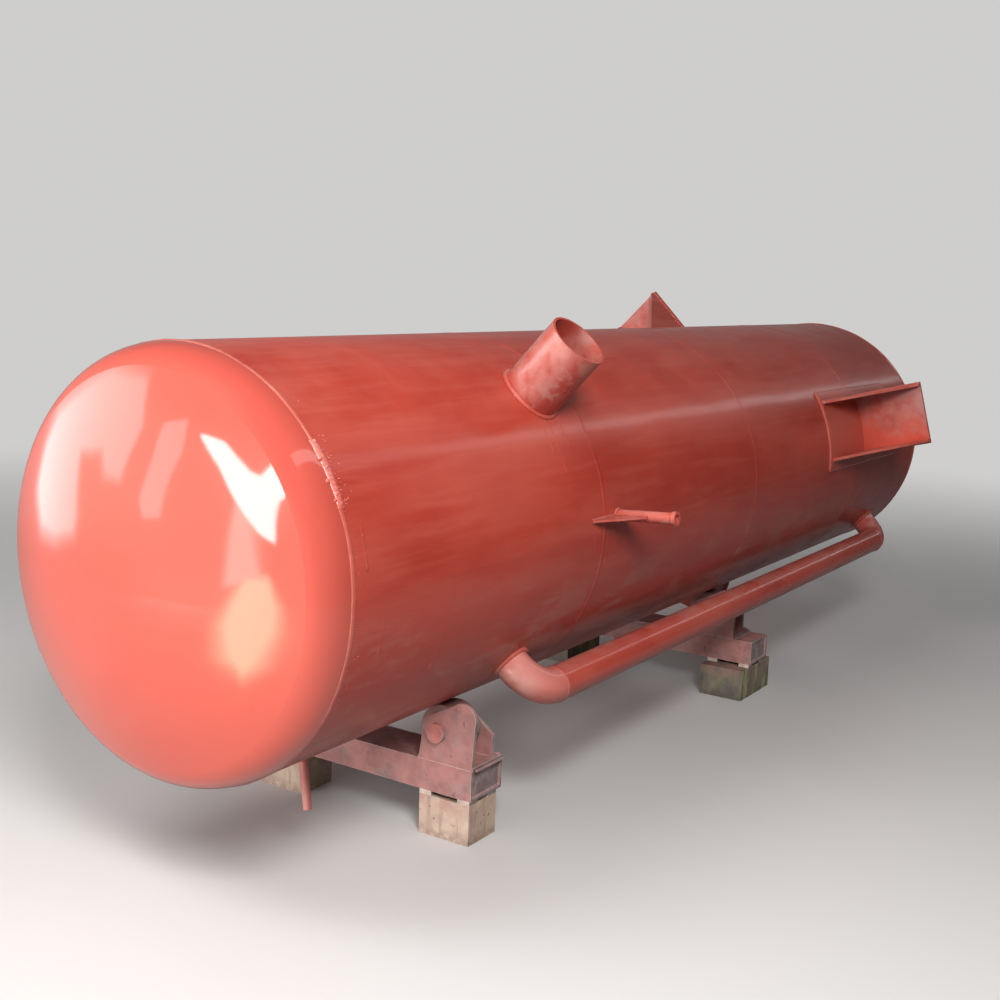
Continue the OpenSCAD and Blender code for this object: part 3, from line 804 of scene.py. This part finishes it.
def lug_welds(side, seed):
    """Welds of one support lug: pad to shell, gussets to pad and gussets to seat."""
    angle = lug_angle(side)
    out, girth = outward(angle), around(angle)
    pad, gussets, seat = f"{side}_lug_pad", f"{side}_lug_gussets", f"{side}_lug_seat"
    origin = on_axis(0)
    pad_y = local_values(pad, origin, ALONG)
    pad_r = local_values(pad, origin, out)[-1]
    half_arc = math.asin(local_values(pad, origin, girth)[-1] / pad_r)
    path = pad_outline(angle, half_arc, pad_y[0], pad_y[-1])
    fillet(f"weld_{side}_pad", *path, 9 * MM, True, seed, **TANK_WELD)
    faces = local_values(gussets, origin, girth, 2 * MM)
    gusset_y = local_values(gussets, origin, ALONG)
    seat_y = local_values(seat, origin, ALONG)[0]
    reach = local_values(gussets, origin, out)[-1]
    for k, (place, turn) in enumerate(((faces[0], -1), (faces[1], 1), (faces[-2], -1), (faces[-1], 1))):
        height = math.sqrt(pad_r ** 2 - place ** 2)
        normal = (girth * place + out * height) / pad_r
        slope = (girth * turn - normal * (girth * turn).dot(normal)).normalized()
        start = origin + girth * place + out * height + ALONG * (gusset_y[0] + 4 * MM)
        end = start + ALONG * (seat_y - gusset_y[0] - 8 * MM)
        straight_fillet(f"weld_{side}_gusset_{k + 1}", start, end, out, slope, 8 * MM, seed + k)
        low = origin + girth * place + out * (height + 8 * MM) + ALONG * seat_y
        high = origin + girth * place + out * (reach - 6 * MM) + ALONG * seat_y
        straight_fillet(f"weld_{side}_seat_{k + 1}", low, high, -ALONG, girth * turn, 7 * MM, seed + 5 + k)


# Wall of a stand's beam, how far its end plates are let in, and thickness of a bracket's base plate
BEAM_WALL = 9 * MM
END_INSET = 6 * MM
BASE_PLATE = 10 * MM


def beam_end_weld(name, beam, x, out, seed):
    """The fillet round a plate that is let into a beam's end."""
    lo, hi = beam
    y0, y1, z0, z1 = lo.y + BEAM_WALL, hi.y - BEAM_WALL, lo.z + BEAM_WALL, hi.z - BEAM_WALL
    loop = [((y0, z0), (0, 1)), ((y1, z0), (-1, 0)), ((y1, z1), (0, -1)), ((y0, z1), (1, 0))]
    corners, ups, offs = [], [], []
    rings_a_side = 70
    for i, ((y, z), inward) in enumerate(loop):
        y_next, z_next = loop[(i + 1) % len(loop)][0]
        for t in np.linspace(0, 1, rings_a_side, endpoint=False):
            corners.append(Vector((x - out * END_INSET, y + (y_next - y) * t, z + (z_next - z) * t)))
            ups.append(Vector((out, 0, 0)))
            offs.append(Vector((0, *inward)))
    fillet(name, corners, ups, offs, 4.5 * MM, True, seed, **STAND_WELD)


def bracket_welds(name, bracket, beam_top, seed):
    """A bracket's base plate on the beam, and its cheeks on the base plate."""
    lo, hi = bracket
    for k, (x, out) in enumerate(((lo.x, -1), (hi.x, 1))):
        start, end = (x, lo.y + 8 * MM, beam_top), (x, hi.y - 8 * MM, beam_top)
        straight_fillet(f"{name}_base_{k + 1}", start, end, (0, 0, 1), (out, 0, 0), 7 * MM, seed + k,
                        STAND_WELD)
    plate_top = beam_top + BASE_PLATE
    for k, (y, out) in enumerate(((lo.y + 12 * MM, 1), (hi.y - 12 * MM, -1))):
        start, end = (lo.x + 10 * MM, y, plate_top), (hi.x - 10 * MM, y, plate_top)
        straight_fillet(f"{name}_cheek_{k + 1}", start, end, (0, 0, 1), (0, out, 0), 7 * MM, seed + 3 + k,
                        STAND_WELD)


def stand_welds(stand, seed):
    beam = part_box(f"{stand}_beam")
    for k, (corner, out) in enumerate(zip(beam, (-1, 1))):
        beam_end_weld(f"weld_{stand}_beam_end_{k + 1}", beam, corner.x, out, seed + k)
    for side in ("right", "left"):
        bracket_welds(f"weld_{stand}_{side}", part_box(f"{stand}_{side}_bracket"), beam[1].z, seed + 3)


# Spatter and paint runs

# Rings of a drop's dome, from its foot up: width and height as shares of the drop's
DOME = ((1.0, -0.4), (0.98, 0.25), (0.66, 0.75))
DROP_SIDES = 8


def droplets(name, spots, sizes, seed, material="weld_primer"):
    """Small domes on the tank, such as weld spatter under paint, in one piece. A spot is an angle and a y."""
    random = np.random.default_rng(seed)
    turns = np.linspace(0, 2 * math.pi, DROP_SIDES, endpoint=False)
    ring = [(k, (k + 1) % DROP_SIDES) for k in range(DROP_SIDES)]
    points, faces = [], []
    for (angle, y), size in zip(spots, sizes):
        out, side = outward(angle), around(angle)
        centre = on_axis(y) + out * SHELL_R
        tall, longer = size * random.uniform(0.4, 0.7), random.uniform(0.8, 1.3)
        rounds = [side * math.cos(a) * longer + ALONG * math.sin(a) for a in turns]
        foot = len(points)
        for wide, high in DOME:
            points += [centre + out * tall * high + r * size * wide / 2 for r in rounds]
        points.append(centre + out * tall)
        faces.append(tuple(range(foot, foot + DROP_SIDES)))
        for low in (foot, foot + DROP_SIDES):
            high = low + DROP_SIDES
            faces += [(low + k, low + after, high + after, high + k) for k, after in ring]
        last, top = foot + 2 * DROP_SIDES, foot + 3 * DROP_SIDES
        faces += [(last + k, last + after, top) for k, after in ring]
    new_piece(name, points, faces, material, "shell_primer")


def spatter_around(name, angle, y, radius, count, seed):
    """Weld spatter on the shell around a pipe's saddle."""
    random = np.random.default_rng(seed)
    turns = random.uniform(0, 2 * math.pi, count)
    far = radius + 13 * MM + np.abs(random.normal(0, 16 * MM, count))
    spots = [(angle + math.asin(f * math.sin(a) / SHELL_R), y + f * math.cos(a)) for a, f in zip(turns, far)]
    droplets(name, spots, random.uniform(1.4 * MM, 3.6 * MM, count), seed)


def spatter_along(name, y, first, last, spread, count, seed, sizes=(1.4 * MM, 3.4 * MM), **finish):
    """Weld spatter beside a seam round the shell, between two angles in degrees. It lies on the far end's
    side of y, or with a negative spread on the near end's."""
    random = np.random.default_rng(seed)
    angles = np.radians(random.uniform(first, last, count))
    away = np.abs(random.normal(0, abs(spread), count)) * math.copysign(1, spread)
    droplets(name, list(zip(angles, y + away)), random.uniform(*sizes, count), seed, **finish)


# Pipes with spatter round them: about how far from its axis it starts, and how many drops there are
SPATTERED_PIPES = (("large_nozzle", 97 * MM, 90), ("side_stub", STUB_R, 30), ("drain", 20 * MM, 24))


def tank_spatter():
    for k, (pipe, radius, count) in enumerate(SPATTERED_PIPES):
        spatter_around(f"spatter_{pipe}", *mount_pipe(pipe), radius, count, 200 + k)
    for k, y in enumerate(HEADER_LEGS):
        spatter_around(f"spatter_header_{k + 1}", HEADER_ANGLE, y, HEADER_R, 50, 204 + k)
    spatter_along("spatter_near_seam", SEAMS[0] + 10 * MM, 0, 360, 20 * MM, 260, 206)
    spatter_along("spatter_far_seam", SEAMS[-1] - 10 * MM, 0, 360, -20 * MM, 260, 207)
    for k, lug in enumerate(LUGS):
        angle = math.degrees(lug_angle(lug))
        lo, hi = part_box(f"{lug}_lug_pad")
        arc = (angle - 18, angle + 18)
        spatter_along(f"spatter_{lug}_pad_1", lo.y - 12 * MM, *arc, -14 * MM, 50, 210 + k)
        spatter_along(f"spatter_{lug}_pad_2", hi.y + 12 * MM, *arc, 14 * MM, 50, 213 + k)


def mended_seam():
    """A rough, wet-looking stretch of the near head's seam, high on the right. Its pale primer paints the
    seam's glint.
    """
    first, last, rings = 50, 68, 110
    outs = [outward(a) for a in np.radians(np.linspace(first, last, rings))]
    points = [on_axis(SEAMS[0] + 2 * MM) + o * SHELL_R for o in outs]
    bead("weld_mended", points, outs, [ALONG] * len(outs), 27 * MM, 6 * MM, False, 61, pitch=13 * MM,
         material="painted_glint_primer", slot="shell_primer")
    spatter_along("spatter_mended_1", SEAMS[0] + 9 * MM, 49, 69, 17 * MM, 46, 220, (2.5 * MM, 6 * MM),
                  material="painted_glint_primer")
    spatter_along("spatter_mended_2", SEAMS[0] + 4 * MM, 50, 67, -6 * MM, 30, 221, (7 * MM, 14 * MM),
                  material="painted_glint_primer")


# Where each run starts, as a y and an angle in degrees, and its length
RUNS = ((-1.305, 53, 0.11), (-1.268, 54, 0.17), (-1.205, 54, 0.09), (-1.13, 89, 0.08), (-1.05, 88.5, 0.13),
        (-0.99, 90, 0.06), (-2.27, 72, 0.12), (-2.20, 96, 0.10), (-1.92, 104, 0.14), (1.06, 93.5, 0.10),
        (1.19, 93.5, 0.07), (1.62, 94, 0.12), (0.42, 99, 0.12), (-0.35, 108, 0.09), (-1.7, -96, 0.13),
        (-0.4, -102, 0.10), (0.9, -110, 0.12))


def paint_run(name, y, first, length, seed):
    """A run in the wet paint, down the shell's girth from an angle in degrees, with a drop at its foot."""
    down = 1 if 0 < first < 180 else -1
    t = np.linspace(0, 1, 60)
    outs = [outward(a) for a in math.radians(first) + down * t * length / SHELL_R]
    points = [on_axis(y) + o * SHELL_R for o in outs]
    drop = np.exp(-((t - 0.93) / 0.05) ** 2)
    width = (7 + 4 * drop) * MM
    height = (0.5 + 1.1 * drop) * MM * (0.3 + 0.7 * t)
    bead(name, points, outs, [ALONG] * len(t), width, height, False, seed, pitch=1.0, **FLUSH_WELD)


# Stage

BACKDROP = (0.62, 0.615, 0.605)
MIRRORED = (0.32, 0.316, 0.312)
OVERHEAD = (0.13, 0.13, 0.13)
DARK_SIDE = (0.07, 0.07, 0.07)
FILL = (0.115, 0.117, 0.123)
FLOOR_SHOWN = (0.66, 0.645, 0.63)
FLOOR_BOUNCE = (0.26, 0.25, 0.24)
FLOOR_HALF = 20


def studio_world():
    """A pale backdrop, darker overhead and on one side where only reflections look, and an even fill."""
    world = bpy.data.worlds.new("studio")
    bpy.context.scene.world = world
    world.use_nodes = True
    n = Nodes(world.node_tree)
    direction = n.new("TexCoord").outputs["Generated"]
    path = n.new("LightPath").outputs
    mirrored = n.mix(n.span(n.axis(direction, "Z"), 0.08, 0.55), MIRRORED, OVERHEAD)
    to_side = n.vector("DOT_PRODUCT", direction, (0.707, 0.707, 0))
    mirrored = n.mix(n.span(to_side, 0.35, 0.9), mirrored, DARK_SIDE)
    colour = n.mix(path["Is Glossy Ray"], FILL, mirrored)
    colour = n.mix(path["Is Camera Ray"], colour, BACKDROP)
    n.put(n.tree.nodes["Background"].inputs["Color"], colour)


def floor():
    """A plain pale floor that fades into the backdrop. It is darker to the light that bounces off it."""
    half = FLOOR_HALF
    obj = new_object("floor", [(-half, -half, 0), (half, -half, 0), (half, half, 0), (-half, half, 0)],
                     [(0, 1, 2, 3)])
    material = new_material("floor")
    n = Nodes(material.node_tree)
    shader = n.tree.nodes["Principled BSDF"]
    shader.inputs["Roughness"].default_value = 0.9
    shader.inputs["Specular IOR Level"].default_value = 0.1
    path = n.new("LightPath").outputs
    seen = n.math("MAXIMUM", path["Is Camera Ray"], n.times(path["Is Glossy Ray"], 0.45))
    n.put(shader.inputs["Base Color"], n.mix(seen, FLOOR_BOUNCE, FLOOR_SHOWN))
    distance = n.vector("LENGTH", n.new("TexCoord").outputs["Object"])
    n.surface(n.mix_shaders(n.span(distance, 2.6, 9.0), shader.outputs[0], n.see_through()))
    obj.data.materials.append(material)


# Lights

def area_light(name, place, target, width, height, radiance):
    """A soft panel that faces its target. radiance is what its own face would show."""
    light = bpy.data.lights.new(name, "AREA")
    light.shape = "RECTANGLE"
    light.size, light.size_y = width, height
    light.energy = radiance * width * height * math.pi
    obj = bpy.data.objects.new(name, light)
    obj.location = place
    obj.rotation_euler = (Vector(target) - Vector(place)).to_track_quat("-Z", "Y").to_euler()
    obj.visible_camera = False
    obj.visible_glossy = False
    bpy.context.scene.collection.objects.link(obj)


def edge_outlines(points, soft):
    """Inner and outer outline of a flat card whose edge fades over a width."""
    fans = ((points[i - 1] - points[0]).cross(points[i] - points[0]) for i in range(2, len(points)))
    normal = sum(fans, Vector()).normalized()
    inner, outer = [], []
    for i, point in enumerate(points):
        before = normal.cross((point - points[i - 1]).normalized())
        after = normal.cross((points[(i + 1) % len(points)] - point).normalized())
        inwards = (before + after).normalized() * soft / 2
        inner.append(point + inwards)
        outer.append(point - inwards)
    return inner, outer


def glow(name, radiance, colour):
    """A material that glows as strongly as the mesh's glow value says, and is clear where that is 0."""
    material = new_material(name)
    n = Nodes(material.node_tree)
    n.tree.nodes.remove(n.tree.nodes["Principled BSDF"])
    level = n.new("Attribute")
    level.attribute_name = "glow"
    light = n.new("Emission")
    n.put(light.inputs["Color"], (*colour, 1))
    n.put(light.inputs["Strength"], n.times(level.outputs["Fac"], radiance))
    n.surface(n.mix_shaders(level.outputs["Fac"], n.see_through(), light.outputs[0]))
    return material


def light_card(name, corners, radiance, soft, colour=(1, 1, 1)):
    """A glowing card that only reflections show. soft is how wide its edge's fade is, in metres."""
    inner, outer = edge_outlines([Vector(c) for c in corners], soft)
    count = len(corners)
    rim = [(i, (i + 1) % count, count + (i + 1) % count, count + i) for i in range(count)]
    obj = new_object(name, outer + inner, rim + [tuple(range(count, 2 * count))])
    level = obj.data.attributes.new("glow", "FLOAT", "POINT")
    level.data.foreach_set("value", [0.0] * count + [1.0] * count)
    obj.data.materials.append(glow(name, radiance, colour))
    obj.visible_camera = False
    obj.visible_diffuse = False
    obj.visible_shadow = False
    obj.visible_transmission = False


# Outlines of the cards that the near head mirrors, in metres. OPENING and DOORWAY are x and z at their own y
OPENING_Y = -9
OPENING = ((-3.1, 4.6), (-1.85, 4.4), (-0.55, 3.55), (-0.1, 3.4), (0.1, 4.0), (0.8, 3.7), (1.0, 3.2),
           (0.65, 2.55), (0.75, 1.25), (0.2, 1.5), (-0.6, 2.2), (-1.7, 3.4), (-2.9, 4.35))
DOORWAY_Y = -9.2
DOORWAY = ((-1.2, -0.4), (0.55, -0.4), (0.2, 1.5), (-0.1, 2.3), (-0.9, 2.8))

# A broad pale card to the left, as y and z, and a narrow tall one that stands askew, as x, y and z
VEIL_X = -6
VEIL = ((-3.1, 2.7), (-4.4, 4.1), (-6.6, 5.4), (-8.2, 4.35), (-7.9, 2.1), (-6.6, 1.9), (-6.0, 2.4),
        (-5.0, 2.05), (-5.5, 0.8), (-5.3, 0.25), (-4.0, 0.02), (-3.05, 0.15), (-2.55, 0.75), (-2.5, 1.55),
        (-2.65, 2.2))
FINGER = ((-5.7, -9.2, 5.1), (-4.65, -10.0, 5.75), (-4.25, -10.3, 4.4), (-4.5, -10.1, 3.0),
          (-4.6, -10.05, 1.5), (-5.4, -9.45, 1.3), (-5.7, -9.2, 1.95), (-5.6, -9.3, 3.45))

# A warm patch just over the floor, as x and y
WARM_Z = 0.02
WARM = ((0.75, -5.8), (0.62, -4.6), (0.38, -3.8), (0.08, -3.45), (-0.22, -3.8), (-0.42, -4.7),
        (-0.45, -6.3), (-0.3, -11.0), (0.7, -11.0))

# A strip overhead that the shell mirrors along its upper right, as x and y
STRIP_Z = 4.1
STRIP = ((2.2, -4), (2.8, -4), (2.8, 14), (2.2, 14))


def lamps():
    """One broad panel and one low one in front, one from the right, one from behind and one above."""
    area_light("front", (-1.9, -7.3, 1.95), (-0.4, 0, 1.2), 7, 3.8, 2.8)
    area_light("low_front", (-0.7, -5.6, 0.3), (0, -2.5, 0.55), 3.0, 0.55, 10.5)
    area_light("side", (3.35, -4.7, 4.1), (AXIS_X, -1.9, AXIS_Z), 1.8, 1.8, 31)
    area_light("rear", (-4.6, 4.8, 1.5), (AXIS_X, 0.3, AXIS_Z), 2.5, 2.2, 6.5)
    area_light("above", (-1.2, -4.8, 4.8), (0.1, -1.4, 1.2), 2.2, 2.2, 8.5)


def reflections():
    """The cards that shape the reflections on the near head and along the shell."""
    light_card("opening", [(x, OPENING_Y, z) for x, z in OPENING], 20, 0.07)
    light_card("veil", [(VEIL_X, y, z) for y, z in VEIL], 3.9, 0.6)
    light_card("doorway", [(x, DOORWAY_Y, z) for x, z in DOORWAY], 6.0, 0.75, (1, 0.93, 0.84))
    light_card("finger", FINGER, 3.6, 0.3)
    light_card("warm", [(x, y, WARM_Z) for x, y in WARM], 11.0, 0.42, (1, 0.82, 0.55))
    light_card("roof_strip", [(x, y, STRIP_Z) for x, y in STRIP], 2.6, 0.2)


# Camera: its focal length is in pixels of an image 1000 pixels wide

CAMERA_AT = Vector((2.494, -4.723, 1.739))
CAMERA_YAW, CAMERA_PITCH, CAMERA_ROLL = (math.radians(a) for a in (33.157, 9.603, -2.065))
FOCAL_PIXELS = 1313.4
IMAGE_WIDTH = 1000
SENSOR_WIDTH = 36


def camera():
    """Looks from the photograph's viewpoint. Yaw turns left from +Y, pitch down, and roll about the view."""
    forward = Vector((-math.sin(CAMERA_YAW) * math.cos(CAMERA_PITCH),
                      math.cos(CAMERA_YAW) * math.cos(CAMERA_PITCH), -math.sin(CAMERA_PITCH)))
    right = Vector((math.cos(CAMERA_YAW), math.sin(CAMERA_YAW), 0))
    down = forward.cross(right)
    c, s = math.cos(CAMERA_ROLL), math.sin(CAMERA_ROLL)
    right, down = right * c + down * s, down * c - right * s
    data = bpy.data.cameras.new("camera")
    data.sensor_fit = "HORIZONTAL"
    data.sensor_width = SENSOR_WIDTH
    data.lens = SENSOR_WIDTH * (FOCAL_PIXELS / IMAGE_WIDTH)
    data.clip_end = 200
    obj = bpy.data.objects.new("camera", data)
    turn = Matrix((right, -down, -forward)).transposed()
    obj.matrix_world = Matrix.Translation(CAMERA_AT) @ turn.to_4x4()
    bpy.context.scene.collection.objects.link(obj)
    bpy.context.scene.camera = obj


dress_frame()
shell_seams()
pipe_welds()
stub_welds()
drain_weld()
stand_welds("near", 80)
stand_welds("far", 95)
for number, lug in enumerate(LUGS):
    lug_welds(lug, 40 + 10 * number)
tank_spatter()
mended_seam()
for number, (run_y, run_angle, run_length) in enumerate(RUNS):
    paint_run(f"paint_run_{number + 1}", run_y, run_angle, run_length, 70 + number)
studio_world()
floor()
lamps()
reflections()
camera()
bpy.context.scene.view_settings.view_transform = "Standard"
